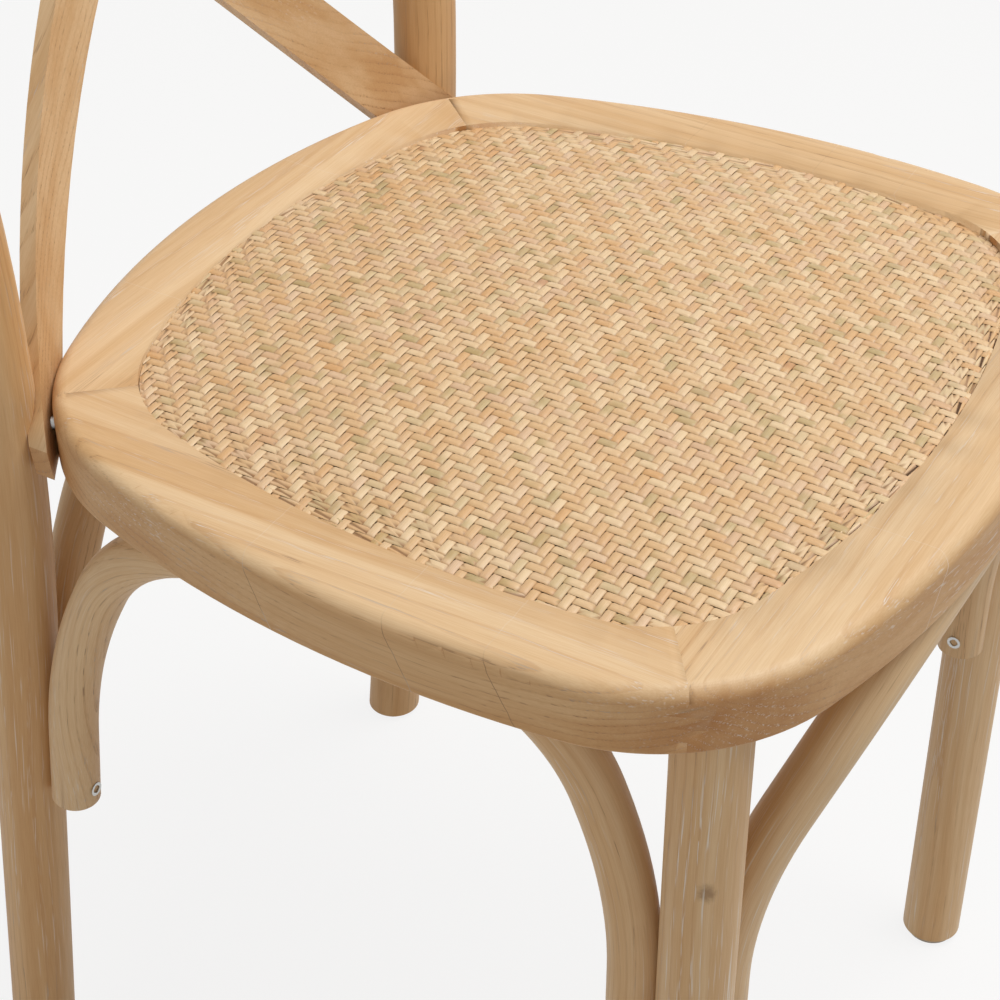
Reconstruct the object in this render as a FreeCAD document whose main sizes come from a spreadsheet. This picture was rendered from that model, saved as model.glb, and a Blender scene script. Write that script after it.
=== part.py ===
import FreeCAD, Part
import math
import os
import Sketcher
from FreeCAD import Placement, Rotation, Vector

# Cross back dining chair: a bent round-rod back with two crossed slats, a rounded seat
# ring of four mitred rails, a woven cane mat on a panel, four legs and four arched braces.
# Millimetres. +X is the sitter's left, -Y the front, +Z up, with the floor at Z = 0.
# Plan positions are measured from the middle of the seat ring, and the whole chair is
# moved at the end so that its outline is centred on the origin.

SIZES = {
    # Seat ring, seen from above
    "seat_height": 460.0,
    "opening_half_width": 177.0,
    "widest_setback": 23.5,
    "side_bow_radius": 483.0,
    "opening_front": 154.4,
    "front_bow_radius": 448.0,
    "opening_back": 186.0,
    "back_bow_radius": 333.0,
    "front_corner_radius": 57.4,
    "rear_corner_radius": 69.4,
    # Seat rails
    "rail_width": 36.7,
    "rail_thickness": 30.0,
    "rail_top_round": 7.0,
    "rail_bottom_round": 1.5,
    "ledge_width": 13.0,
    "ledge_thickness": 15.0,
    "front_mitre_angle": 36.0,
    "rear_mitre_angle": 48.5,
    "finger_pitch": 6.0,
    "finger_length": 16.0,
    "finger_count": 3,
    # Seat filling
    "panel_thickness": 9.0,
    "panel_gap": 0.4,
    "mat_gap": 0.3,
    "mat_crown": 5.0,
    "mat_crown_radius": 2600.0,
    # Legs and back posts
    "leg_diameter": 32.0,
    "tenon_diameter": 22.0,
    "tenon_length": 22.0,
    "foot_chamfer": 1.5,
    "front_leg_direction": -46.3,
    "rear_foot_out": 6.5,
    "rear_foot_back": 41.0,
    "rear_knee_drop": 42.0,
    "post_bend_rise": 110.0,
    "post_bend_out": 4.0,
    "post_bend_back": 1.5,
    "post_bend_reach": 75.0,
    "shoulder_out": 21.0,
    "shoulder_back": 54.0,
    "shoulder_rise": 394.0,
    "shoulder_reach": 88.0,
    "crest_bow_up": 20.0,
    "crest_bow_back": 36.0,
    "post_direction": 50.4,
    "post_gap": 4.6,
    "crest_joint_rise": 272.0,
    "comb_pitch": 6.4,
    "comb_length": 15.0,
    "comb_count": 6,
    # Crossed back slats
    "slat_width": 30.0,
    "slat_thickness": 8.0,
    "slat_bow_radius": 310.0,
    "slat_housing": 5.7,
    "slat_low_inset": 22.0,
    "slat_low_drop": 16.0,
    "slat_cross_rise": 159.0,
    "slat_high_outset": 5.0,
    "slat_high_rise": 325.0,
    "slat_low_overlap": 5.0,
    "slat_high_overlap": -3.0,
    # Arched braces
    "arch_diameter": 23.0,
    "arch_gap": 0.1,
    "arch_end_drop": 194.0,
    "arch_spring_reach": 47.0,
    "arch_crown_reach": 52.0,
    "front_spring_drop": 121.0,
    "front_crown_in": 45.0,
    "front_crown_shift": 40.0,
    "side_spring_drop": 106.0,
    "side_crown_in": 38.4,
    "side_crown_shift": 2.0,
    "rear_spring_drop": 106.0,
    "rear_crown_in": 38.4,
    "rear_crown_shift": 0.0,
    # Post bolts and glides
    "bolt_diameter": 6.0,
    "bolt_head_diameter": 12.0,
    "bolt_head_depth": 9.0,
    "bolt_head_length": 4.0,
    "bolt_length": 52.0,
    "glide_diameter": 26.0,
    "glide_thickness": 3.0,
    "glide_pin_diameter": 5.0,
    "glide_pin_length": 14.0,
}

doc = FreeCAD.newDocument("CrossBackChair")
parts = []


def make_sheet():
    sheet = doc.addObject("Spreadsheet::Sheet", "Sizes")
    for row, (alias, value) in enumerate(SIZES.items(), start=1):
        sheet.set("A%d" % row, alias)
        sheet.set("B%d" % row, str(value))
        sheet.setAlias("B%d" % row, alias)
    doc.recompute()
    return sheet


sheet = make_sheet()


def size(alias):
    return float(sheet.get(alias))


def add_shape(name, shape):
    """Adds a sub-part whose shape comes from swept, bent or cut forms."""
    feature = doc.addObject("Part::Feature", name)
    feature.Label = name
    feature.Shape = shape
    parts.append(feature)
    return feature


def origin_plane(body, role):
    for feature in body.Origin.OriginFeatures:
        if feature.Role == role:
            return feature
    raise ValueError(role)


def add_body(name, kept=True):
    body = doc.addObject("PartDesign::Body", name)
    body.Label = name
    if kept:
        parts.append(body)
    return body


def add_sketch(body, name, role, raised=None):
    sketch = body.newObject("Sketcher::SketchObject", name)
    sketch.AttachmentSupport = [(origin_plane(body, role), "")]
    sketch.MapMode = "FlatFace"
    if raised:
        sketch.setExpression("AttachmentOffset.Base.z", raised)
    return sketch


# Seat outline: eight arcs, each tangent to the next

def corner_centre(side_centre, side_radius, end_centre, end_radius, radius):
    """Centre of the corner arc that touches the side arc and an end arc from inside."""
    reach_side = side_radius - radius
    reach_end = end_radius - radius
    line = end_centre - side_centre
    along = (reach_side ** 2 - reach_end ** 2 + line.Length ** 2) / (2 * line.Length)
    across = math.sqrt(reach_side ** 2 - along ** 2)
    unit = Vector(line).normalize()
    square = Vector(-unit.y, unit.x, 0)
    choices = (side_centre + unit * along + square * across,
               side_centre + unit * along - square * across)
    return max(choices, key=lambda point: point.x)


SIDE = Vector(size("opening_half_width") - size("side_bow_radius"), -size("widest_setback"), 0)
FRONT = Vector(0, size("front_bow_radius") - size("opening_front"), 0)
BACK = Vector(0, size("opening_back") - size("back_bow_radius"), 0)
FRONT_CORNER = corner_centre(SIDE, size("side_bow_radius"), FRONT,
                             size("front_bow_radius"), size("front_corner_radius"))
REAR_CORNER = corner_centre(SIDE, size("side_bow_radius"), BACK,
                            size("back_bow_radius"), size("rear_corner_radius"))


def mirrored(point):
    return Vector(-point.x, point.y, point.z)


def direction(start, end):
    return math.atan2(end.y - start.y, end.x - start.x)


def outline_arcs(offset):
    """Eight arcs round the seat, counter-clockwise from the front, grown by offset."""
    turn = 2 * math.pi
    front_left = direction(FRONT, mirrored(FRONT_CORNER)) + turn
    front_right = direction(FRONT, FRONT_CORNER) + turn
    side_low = direction(SIDE, FRONT_CORNER)
    side_high = direction(SIDE, REAR_CORNER)
    back_right = direction(BACK, REAR_CORNER)
    back_left = math.pi - back_right
    rows = (
        (FRONT, "front_bow_radius", front_left, front_right),
        (FRONT_CORNER, "front_corner_radius", front_right, side_low + turn),
        (SIDE, "side_bow_radius", side_low, side_high),
        (REAR_CORNER, "rear_corner_radius", side_high, back_right),
        (BACK, "back_bow_radius", back_right, back_left),
        (mirrored(REAR_CORNER), "rear_corner_radius", back_left, math.pi - side_high),
        (mirrored(SIDE), "side_bow_radius", math.pi - side_high, math.pi - side_low),
        (mirrored(FRONT_CORNER), "front_corner_radius", math.pi - side_low, front_left),
    )
    arcs = []
    for centre, radius, start, end in rows:
        circle = Part.Circle(centre, Vector(0, 0, 1), size(radius) + offset)
        arcs.append(Part.ArcOfCircle(circle, start, end))
    return arcs


def draw_outline(sketch, offset, offset_expression):
    """Draws the seat outline in a sketch, tied to the sheet and grown by an offset."""
    first = sketch.GeometryCount
    front, front_right, right, rear_right, back, rear_left, left, front_left = range(
        first, first + 8)
    sketch.addGeometry(outline_arcs(offset), False)
    loop = list(range(first, first + 8))
    for arc, following in zip(loop, loop[1:] + loop[:1]):
        sketch.addConstraint(Sketcher.Constraint("Tangent", arc, 2, following, 1))
    for arc, other in ((front_right, front_left), (right, left), (rear_right, rear_left)):
        sketch.addConstraint(Sketcher.Constraint("Equal", arc, other))
    sketch.addConstraint(Sketcher.Constraint("Symmetric", right, 3, left, 3, -2))
    for arc in (front, back):
        sketch.addConstraint(Sketcher.Constraint("PointOnObject", arc, 3, -2))
    radii = ((front, "front_bow_radius"), (front_right, "front_corner_radius"),
             (right, "side_bow_radius"), (rear_right, "rear_corner_radius"),
             (back, "back_bow_radius"))
    for arc, alias in radii:
        index = sketch.addConstraint(Sketcher.Constraint("Radius", arc, size(alias) + offset))
        sketch.setExpression("Constraints[%d]" % index, "Sizes.%s%s" % (alias, offset_expression))
    places = (
        ("DistanceY", front, FRONT.y, "Sizes.front_bow_radius - Sizes.opening_front"),
        ("DistanceY", back, BACK.y, "Sizes.opening_back - Sizes.back_bow_radius"),
        ("DistanceX", right, SIDE.x, "Sizes.opening_half_width - Sizes.side_bow_radius"),
        ("DistanceY", right, SIDE.y, "-Sizes.widest_setback"),
    )
    for kind, arc, value, expression in places:
        index = sketch.addConstraint(Sketcher.Constraint(kind, -1, 1, arc, 3, value))
        sketch.setExpression("Constraints[%d]" % index, expression)


SEAT_TOP = size("seat_height")
SEAT_UNDERSIDE = SEAT_TOP - size("rail_thickness")
UNDERSIDE_EXPRESSION = "Sizes.seat_height - Sizes.rail_thickness"
LEG_RADIUS = size("leg_diameter") / 2


def make_ring():
    """The whole seat ring, with its rebate, before it is parted into four rails."""
    ring = add_body("seat_ring", kept=False)
    outer = add_sketch(ring, "ring_outline", "XY_Plane", UNDERSIDE_EXPRESSION)
    draw_outline(outer, size("rail_width"), " + Sizes.rail_width")
    draw_outline(outer, -size("ledge_width"), " - Sizes.ledge_width")
    pad = ring.newObject("PartDesign::Pad", "ring_pad")
    pad.Profile = outer
    pad.setExpression("Length", "Sizes.rail_thickness")
    doc.recompute()
    opening = add_sketch(ring, "rebate_outline", "XY_Plane",
                         UNDERSIDE_EXPRESSION + " + Sizes.ledge_thickness")
    draw_outline(opening, 0.0, "")
    rebate = ring.newObject("PartDesign::Pocket", "ring_rebate")
    rebate.Profile = opening
    rebate.Reversed = True
    rebate.setExpression("Length", "Sizes.rail_thickness - Sizes.ledge_thickness")
    doc.recompute()
    for name, level, alias in (("ring_top_round", SEAT_TOP, "rail_top_round"),
                               ("ring_bottom_round", SEAT_UNDERSIDE, "rail_bottom_round")):
        base = ring.Tip
        rounding = ring.newObject("PartDesign::Fillet", name)
        rounding.Base = (base, outer_edges(base.Shape, level))
        rounding.setExpression("Radius", "Sizes.%s" % alias)
        doc.recompute()
    return ring


def outer_edges(shape, level):
    """Names of the edges at one height that run round the outside of the ring."""
    grown = [arc.Radius for arc in outline_arcs(size("rail_width"))]
    names = []
    for index, edge in enumerate(shape.Edges, start=1):
        flat = all(abs(vertex.Z - level) < 1e-6 for vertex in edge.Vertexes)
        if flat and any(abs(edge.Curve.Radius - radius) < 1e-3 for radius in grown):
            names.append("Edge%d" % index)
    return names


def comb_points(length, pitch, count, low, high):
    """Zigzag through a joint: points as (across, height), pointed teeth both ways."""
    middle = (low + high) / 2
    start = middle - pitch * count / 2
    points = [(0.0, low), (0.0, start)]
    for tooth in range(count):
        points.append((length / 2, start + pitch * (tooth + 0.25)))
        points.append((-length / 2, start + pitch * (tooth + 0.75)))
    points.append((0.0, start + pitch * count))
    points.append((0.0, high))
    return points


def mitre_cutter(corner, angle, side):
    """A block that holds all to the side-rail side of one mitre, with its finger teeth."""
    reach = 3 * size("opening_half_width")
    margin = size("rail_thickness")
    low = SEAT_UNDERSIDE - margin
    high = SEAT_TOP + margin
    teeth = comb_points(size("finger_length"), size("finger_pitch"),
                        int(size("finger_count")), low, high)
    outline = [Vector(across, 0, level) for across, level in teeth]
    outline += [Vector(reach, 0, high), Vector(reach, 0, low)]
    face = Part.Face(Part.makePolygon(outline + outline[:1]))
    block = face.extrude(Vector(0, 2 * reach, 0))
    block.translate(Vector(0, -reach, 0))
    turn = 90 + angle if side > 0 else angle - 90
    block.rotate(Vector(0, 0, 0), Vector(0, 0, 1), turn)
    block.translate(corner)
    return block


def other_side(shape):
    return shape.mirror(Vector(0, 0, 0), Vector(1, 0, 0))


def make_rails(ring):
    front_cut = mitre_cutter(FRONT_CORNER, -size("front_mitre_angle"), 1)
    rear_cut = mitre_cutter(REAR_CORNER, size("rear_mitre_angle"), -1)
    left = ring.common(front_cut).common(rear_cut)
    return {
        "seat_rail_left": left,
        "seat_rail_right": other_side(left),
        "seat_rail_front": ring.cut(front_cut).cut(other_side(front_cut)),
        "seat_rail_back": ring.cut(rear_cut).cut(other_side(rear_cut)),
    }


# Bent rods: straight runs joined by tangent arcs

def bent_wire(points, reaches):
    """A wire through the points, each inner one rounded with the given tangent length."""
    edges = []
    start = points[0]
    for before, corner, after, reach in zip(points, points[1:], points[2:], reaches):
        incoming = (corner - before).normalize()
        outgoing = (after - corner).normalize()
        entry = corner - incoming * reach
        leaving = corner + outgoing * reach
        turn = incoming.getAngle(outgoing)
        radius = reach / math.tan(turn / 2)
        to_centre = (outgoing - incoming).normalize()
        sagitta = radius / math.cos(turn / 2) - radius
        middle = corner + to_centre * sagitta
        if (entry - start).Length > 1e-6:
            edges.append(Part.LineSegment(start, entry).toShape())
        edges.append(Part.Arc(entry, middle, leaving).toShape())
        start = leaving
    if (points[-1] - start).Length > 1e-6:
        edges.append(Part.LineSegment(start, points[-1]).toShape())
    return Part.Wire(edges)


def bent_rod(points, reaches, radius):
    path = bent_wire(points, reaches)
    circle = Part.Circle(points[0], points[1] - points[0], radius)
    section = Part.Wire([circle.toShape()])
    return path.makePipeShell([section], True, False)


def polar(distance, angle):
    turn = math.radians(angle)
    return Vector(distance * math.cos(turn), distance * math.sin(turn), 0)


# Back posts: where the axis stands at seat level, outside the ring's rear corner
POST_AXIS = REAR_CORNER + polar(size("rear_corner_radius") + size("rail_width")
                                + size("post_gap") + LEG_RADIUS, size("post_direction"))
KNEE = Vector(POST_AXIS.x, POST_AXIS.y, SEAT_TOP - size("rear_knee_drop"))
FOOT = Vector(POST_AXIS.x + size("rear_foot_out"), POST_AXIS.y + size("rear_foot_back"), 0)
BEND = Vector(POST_AXIS.x + size("post_bend_out"), POST_AXIS.y + size("post_bend_back"),
              SEAT_TOP + size("post_bend_rise"))
SHOULDER = Vector(POST_AXIS.x + size("shoulder_out"), POST_AXIS.y + size("shoulder_back"),
                  SEAT_TOP + size("shoulder_rise"))
PEAK = Vector(0, SHOULDER.y + size("crest_bow_back"), SHOULDER.z + size("crest_bow_up"))


def post_axis_at(level):
    """Point on the post's axis between floor and shoulder, before the bends are rounded."""
    nodes = (FOOT, KNEE, BEND, SHOULDER)
    for low, high in zip(nodes, nodes[1:]):
        if level <= high.z:
            break
    return low + (high - low) * ((level - low.z) / (high.z - low.z))


def make_hoop():
    """Both back posts and the crest as one bent rod, cut flat above the glides."""
    below = FOOT + (FOOT - KNEE).normalize() * size("leg_diameter")
    right = [below, KNEE, BEND, SHOULDER]
    left = [mirrored(point) for point in reversed(right)]
    knee_reach = size("post_bend_reach")
    crest_reach = (PEAK - SHOULDER).Length - size("shoulder_reach")
    reaches = [knee_reach, knee_reach, size("shoulder_reach"), crest_reach,
               size("shoulder_reach"), knee_reach, knee_reach]
    rod = bent_rod(right + [PEAK] + left, reaches, LEG_RADIUS)
    reach = 4 * size("leg_diameter")
    floor = Part.makeBox(2 * FOOT.x + reach, reach, reach,
                         Vector(-FOOT.x - reach / 2, FOOT.y - reach / 2,
                                size("glide_thickness") - reach))
    return rod.cut(floor)


def crest_cutter():
    """A block that holds the crest: its lower face has pointed teeth at both posts."""
    joint = SEAT_TOP + size("crest_joint_rise")
    axis = post_axis_at(joint)
    pitch = size("comb_pitch")
    count = int(size("comb_count"))
    start = axis.x - pitch * count / 2
    tooth = size("comb_length") / 2
    right = [Vector(start, 0, joint)]
    for number in range(count):
        right.append(Vector(start + pitch * (number + 0.25), 0, joint + tooth))
        right.append(Vector(start + pitch * (number + 0.75), 0, joint - tooth))
    right.append(Vector(start + pitch * count, 0, joint))
    outer = 2 * axis.x
    top = SEAT_TOP + 2 * size("shoulder_rise")
    corners = [Vector(outer, 0, joint), Vector(outer, 0, top),
               Vector(-outer, 0, top), Vector(-outer, 0, joint)]
    left = [mirrored(point) for point in reversed(right)]
    outline = left + right + corners
    face = Part.Face(Part.makePolygon(outline + outline[:1]))
    return face.extrude(Vector(0, 2 * PEAK.y, 0))


# Crossed slats: a bowed, leaning sheet, cut to two crossed strips and halved together

def sheet_centre(level):
    """Centre of the sheet's bow at one height, so that both slat ends sit in the posts."""
    stand = (size("slat_bow_radius") + size("slat_thickness") + LEG_RADIUS
             - size("slat_housing"))
    ends = []
    for height in (SEAT_TOP, SEAT_TOP + size("slat_high_rise")):
        axis = post_axis_at(height)
        ends.append(Vector(0, axis.y - math.sqrt(stand ** 2 - axis.x ** 2), height))
    return ends[0] + (ends[1] - ends[0]) * ((level - ends[0].z) / (ends[1].z - ends[0].z))


def slat_sheet(inner_radius, outer_radius):
    """The part of the bowed sheet between two radii, leaning back with the posts."""
    bottom = sheet_centre(SEAT_UNDERSIDE)
    top = sheet_centre(SEAT_TOP + size("shoulder_rise"))
    disc = Part.makeCylinder(outer_radius, 1, bottom).cut(
        Part.makeCylinder(inner_radius, 1, bottom))
    back_half = Part.makeBox(2 * outer_radius, outer_radius, 1,
                             bottom - Vector(outer_radius, 0, 0))
    slice_shape = disc.common(back_half)
    base = min(slice_shape.Faces, key=lambda face: face.CenterOfMass.z)
    return base.extrude(top - bottom)


def slat_strip():
    """Front-view outline of the slat that starts at the left post, as a deep prism."""
    half_opening = size("opening_half_width")
    low = Vector(half_opening - size("slat_low_inset"), 0, SEAT_TOP - size("slat_low_drop"))
    middle = Vector(0, 0, SEAT_TOP + size("slat_cross_rise"))
    high = Vector(-half_opening - size("slat_high_outset"), 0,
                  SEAT_TOP + size("slat_high_rise"))
    curve = Part.Arc(low, middle, high).toShape().Curve
    half = size("slat_width") / 2
    deep = 4 * size("slat_bow_radius")
    near = Vector(curve.Center.x, -deep / 2, curve.Center.z)
    strip = Part.makeCylinder(curve.Radius + half, deep, near, Vector(0, 1, 0)).cut(
        Part.makeCylinder(curve.Radius - half, deep, near, Vector(0, 1, 0)))
    right_end = post_axis_at(low.z).x + size("slat_low_overlap")
    left_end = post_axis_at(high.z).x + size("slat_high_overlap")
    window = Part.makeBox(right_end + left_end, deep, SEAT_TOP + size("shoulder_rise"),
                          Vector(-left_end, -deep / 2, SEAT_UNDERSIDE))
    return strip.common(window)


def make_slats(ring):
    """Two slats halved into each other where they cross, their feet scribed to the ring."""
    front = size("slat_bow_radius")
    rear = front + size("slat_thickness")
    seam = (front + rear) / 2
    front_half = slat_sheet(front, seam)
    rear_half = slat_sheet(seam, rear)
    strip = slat_strip()
    crossing = other_side(strip)
    first = front_half.common(strip).fuse(rear_half.common(strip.cut(crossing)))
    second = rear_half.common(crossing).fuse(front_half.common(crossing.cut(strip)))
    return [slat.removeSplitter().cut(ring) for slat in (first, second)]


# Arched braces

LEG_AXIS = FRONT_CORNER + polar(size("front_corner_radius") + size("rail_width") / 2,
                                size("front_leg_direction"))
ARCH_RADIUS = size("arch_diameter") / 2


def front_leg(side):
    return lambda level: Vector(side * LEG_AXIS.x, LEG_AXIS.y, level)


def rear_leg(side):
    def axis(level):
        point = FOOT + (KNEE - FOOT) * (level / KNEE.z)
        return Vector(side * point.x, point.y, point.z)
    return axis


ARCHES = {
    "arch_front": (front_leg(-1), front_leg(1), "front"),
    "arch_rear": (rear_leg(1), rear_leg(-1), "rear"),
    "arch_left": (front_leg(1), rear_leg(1), "side"),
    "arch_right": (rear_leg(-1), front_leg(-1), "side"),
}


def arch_points(start_axis, end_axis, place):
    """Control points of an arch that springs from the inner faces of two legs."""
    beside = LEG_RADIUS + size("arch_gap") + ARCH_RADIUS
    crown_in = size(place + "_crown_in")
    rows = ((SEAT_UNDERSIDE - size("arch_end_drop"), 0, 0),
            (SEAT_UNDERSIDE - size(place + "_spring_drop"), 0, 0),
            (SEAT_UNDERSIDE - ARCH_RADIUS, crown_in, size(place + "_crown_shift")))
    crown = end_axis(SEAT_UNDERSIDE) - start_axis(SEAT_UNDERSIDE)
    outward = Vector(crown.y, -crown.x, 0).normalize()
    halves = []
    for near, far in ((start_axis, end_axis), (end_axis, start_axis)):
        half = []
        for level, inward, shift in rows:
            inner = (far(level) - near(level)).normalize()
            half.append(near(level) + inner * (beside + inward) + outward * shift)
        halves.append(half)
    return halves[0] + halves[1][::-1]


def make_arch(points):
    reaches = [size("arch_spring_reach"), size("arch_crown_reach")]
    return bent_rod(points, reaches + reaches[::-1], ARCH_RADIUS)


# Fastenings

def post_bolt(hoop):
    """A bolt from behind the post, through the slat's foot, into the ring's corner."""
    level = SEAT_TOP - size("slat_low_drop")
    inward = (REAR_CORNER - POST_AXIS).normalize()
    seat = post_axis_at(level) - inward * (LEG_RADIUS - size("bolt_head_depth"))
    head = Part.makeCylinder(size("bolt_head_diameter") / 2, size("bolt_head_length"),
                             seat, inward)
    shank = Part.makeCylinder(size("bolt_diameter") / 2, size("bolt_length"), seat, inward)
    mouth = Part.makeCylinder(size("bolt_head_diameter") / 2, LEG_RADIUS, seat, inward * -1)
    return head.fuse(shank).removeSplitter(), hoop.common(mouth)


# Turned pieces and the seat filling

def add_turned(name, profile, place):
    """A piece turned about its upright axis, from rows of radius and height.

    Each radius and height is a pair: its value, and the sheet expression it is tied to.
    """
    body = add_body(name)
    sketch = add_sketch(body, name + "_profile", "XZ_Plane")
    points = [Vector(radius[0], height[0], 0) for radius, height in profile]
    loop = list(range(len(points)))
    for line, following in zip(loop, loop[1:] + loop[:1]):
        sketch.addGeometry(Part.LineSegment(points[line], points[following]), False)
    for line, following in zip(loop, loop[1:] + loop[:1]):
        sketch.addConstraint(Sketcher.Constraint("Coincident", line, 2, following, 1))
    for line, row in enumerate(profile):
        for kind, axis, (value, expression) in zip(("DistanceX", "DistanceY"), (-2, -1), row):
            if value == 0:
                sketch.addConstraint(Sketcher.Constraint("PointOnObject", line, 1, axis))
            else:
                index = sketch.addConstraint(
                    Sketcher.Constraint(kind, -1, 1, line, 1, value))
                sketch.setExpression("Constraints[%d]" % index, expression)
    turned = body.newObject("PartDesign::Revolution", name + "_turned")
    turned.Profile = sketch
    turned.ReferenceAxis = (sketch, ["V_Axis"])
    turned.Angle = 360
    body.Placement = Placement(place, Rotation())
    doc.recompute()
    return body


def tied(expression, *terms):
    """A size pair: the sum of the terms and the expression that gives the same sum."""
    return (sum(terms), expression)


def glide_pin():
    """Radius and top of the pin that holds a glide in its leg."""
    return (tied("Sizes.glide_pin_diameter / 2", size("glide_pin_diameter") / 2),
            tied("Sizes.glide_thickness + Sizes.glide_pin_length", size("glide_thickness"),
                 size("glide_pin_length")))


def leg_profile():
    radius = tied("Sizes.leg_diameter / 2", LEG_RADIUS)
    tenon = tied("Sizes.tenon_diameter / 2", size("tenon_diameter") / 2)
    foot = tied("Sizes.glide_thickness", size("glide_thickness"))
    rounded = tied("Sizes.leg_diameter / 2 - Sizes.foot_chamfer", LEG_RADIUS,
                   -size("foot_chamfer"))
    chamfer = tied("Sizes.glide_thickness + Sizes.foot_chamfer", size("glide_thickness"),
                   size("foot_chamfer"))
    top = tied(UNDERSIDE_EXPRESSION, SEAT_UNDERSIDE)
    end = tied(UNDERSIDE_EXPRESSION + " + Sizes.tenon_length", SEAT_UNDERSIDE,
               size("tenon_length"))
    pin, pin_end = glide_pin()
    axis = tied("0")
    return ((pin, foot), (rounded, foot), (radius, chamfer), (radius, top), (tenon, top),
            (tenon, end), (axis, end), (axis, pin_end), (pin, pin_end))


def glide_profile():
    disc = tied("Sizes.glide_diameter / 2", size("glide_diameter") / 2)
    pin, end = glide_pin()
    thick = tied("Sizes.glide_thickness", size("glide_thickness"))
    zero = tied("0")
    return ((zero, zero), (disc, zero), (disc, thick), (pin, thick), (pin, end), (zero, end))


def make_panel():
    """The seat panel that lies on the rails' ledge."""
    panel = add_body("seat_panel_board")
    sketch = add_sketch(panel, "panel_outline", "XY_Plane",
                        UNDERSIDE_EXPRESSION + " + Sizes.ledge_thickness")
    draw_outline(sketch, -size("panel_gap"), " - Sizes.panel_gap")
    pad = panel.newObject("PartDesign::Pad", "panel_pad")
    pad.Profile = sketch
    pad.setExpression("Length", "Sizes.panel_thickness")
    doc.recompute()


def make_mat():
    """The woven mat as one crowned sheet on the panel."""
    base = SEAT_UNDERSIDE + size("ledge_thickness") + size("panel_thickness")
    top = SEAT_TOP + size("mat_crown")
    edges = [arc.toShape() for arc in outline_arcs(-size("mat_gap"))]
    blank = Part.Face(Part.Wire(edges)).extrude(Vector(0, 0, top - base))
    blank.translate(Vector(0, 0, base))
    crown = Part.makeSphere(size("mat_crown_radius"),
                            Vector(0, 0, top - size("mat_crown_radius")))
    return blank.common(crown)


# Assembly

def less(shape, tools):
    """The shape without the tools that reach it."""
    for tool in tools:
        if shape.BoundBox.intersect(tool.BoundBox):
            shape = shape.cut(tool)
    return shape


def solid_of(shape):
    return shape.Solids[0] if len(shape.Solids) == 1 else shape


def build_legs():
    """Glides and front legs; returns what is let into the posts and into the seat ring."""
    places = {"front_left": front_leg(1), "front_right": front_leg(-1),
              "rear_left": rear_leg(1), "rear_right": rear_leg(-1)}
    pins = []
    for name, axis in places.items():
        foot = axis(0)
        foot.z = 0
        pins.append(add_turned("glide_" + name, glide_profile(), foot).Shape)
    tenons = []
    for name in ("front_left", "front_right"):
        side = 1 if name == "front_left" else -1
        leg = add_turned(name.replace("front", "front_leg"), leg_profile(), front_leg(side)(0))
        tenons.append(leg.Shape)
    return pins, tenons


def build_back(slats, let_in):
    hoop = less(make_hoop(), slats + let_in)
    cutter = crest_cutter()
    add_shape("crest_hoop", solid_of(hoop.common(cutter)))
    posts = hoop.cut(cutter).Solids
    add_shape("rear_post_left", max(posts, key=lambda post: post.CenterOfMass.x))
    add_shape("rear_post_right", min(posts, key=lambda post: post.CenterOfMass.x))
    for name, slat in zip(("back_slat_front", "back_slat_rear"), slats):
        add_shape(name, solid_of(less(slat, let_in)))


def build():
    ring = make_ring().Shape
    pins, tenons = build_legs()
    left_bolt, left_plug = post_bolt(make_hoop())
    bolts = [left_bolt, other_side(left_bolt)]
    plugs = [left_plug, other_side(left_plug)]
    build_back(make_slats(ring), pins + bolts + plugs)
    for name, rail in make_rails(ring).items():
        add_shape(name, less(rail, tenons + bolts))
    make_panel()
    add_shape("rattan_mat", make_mat())
    for name, row in ARCHES.items():
        add_shape(name, solid_of(make_arch(arch_points(*row))))
    add_shape("post_bolts", Part.makeCompound(bolts))
    add_shape("bolt_plugs", Part.makeCompound(plugs))


def centre_on_origin():
    """Moves every piece alike, so that the chair's outline is centred in plan."""
    box = FreeCAD.BoundBox()
    for part in parts:
        box.add(part.Shape.optimalBoundingBox())
    shift = Placement(Vector(-box.Center.x, -box.Center.y, -box.ZMin), Rotation())
    for part in parts:
        part.Placement = shift.multiply(part.Placement)
    return box


def check():
    doc.recompute()
    for item in doc.Objects:
        if "Invalid" in item.State or "Error" in item.State:
            raise RuntimeError("%s failed" % item.Label)
    for part in parts:
        if part.Shape.isNull() or not part.Shape.isValid():
            raise RuntimeError("%s has no valid solid" % part.Label)


def export():
    os.makedirs("parts", exist_ok=True)
    for part in parts:
        part.Shape.exportStep("parts/%s.step" % part.Label)


build()
outline = centre_on_origin()
check()
export()
print("size %.1f x %.1f x %.1f" % (outline.XLength, outline.YLength, outline.ZLength))
print("plan shift %.3f" % -outline.Center.y)
for part in parts:
    print(part.Label, len(part.Shape.Solids), round(part.Shape.Volume))
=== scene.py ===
import math
import random

import bmesh
import bpy
from bpy.props import FloatProperty, FloatVectorProperty, IntProperty, PointerProperty
from mathutils import Matrix, Vector
from mathutils.bvhtree import BVHTree
from mathutils.kdtree import KDTree


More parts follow.
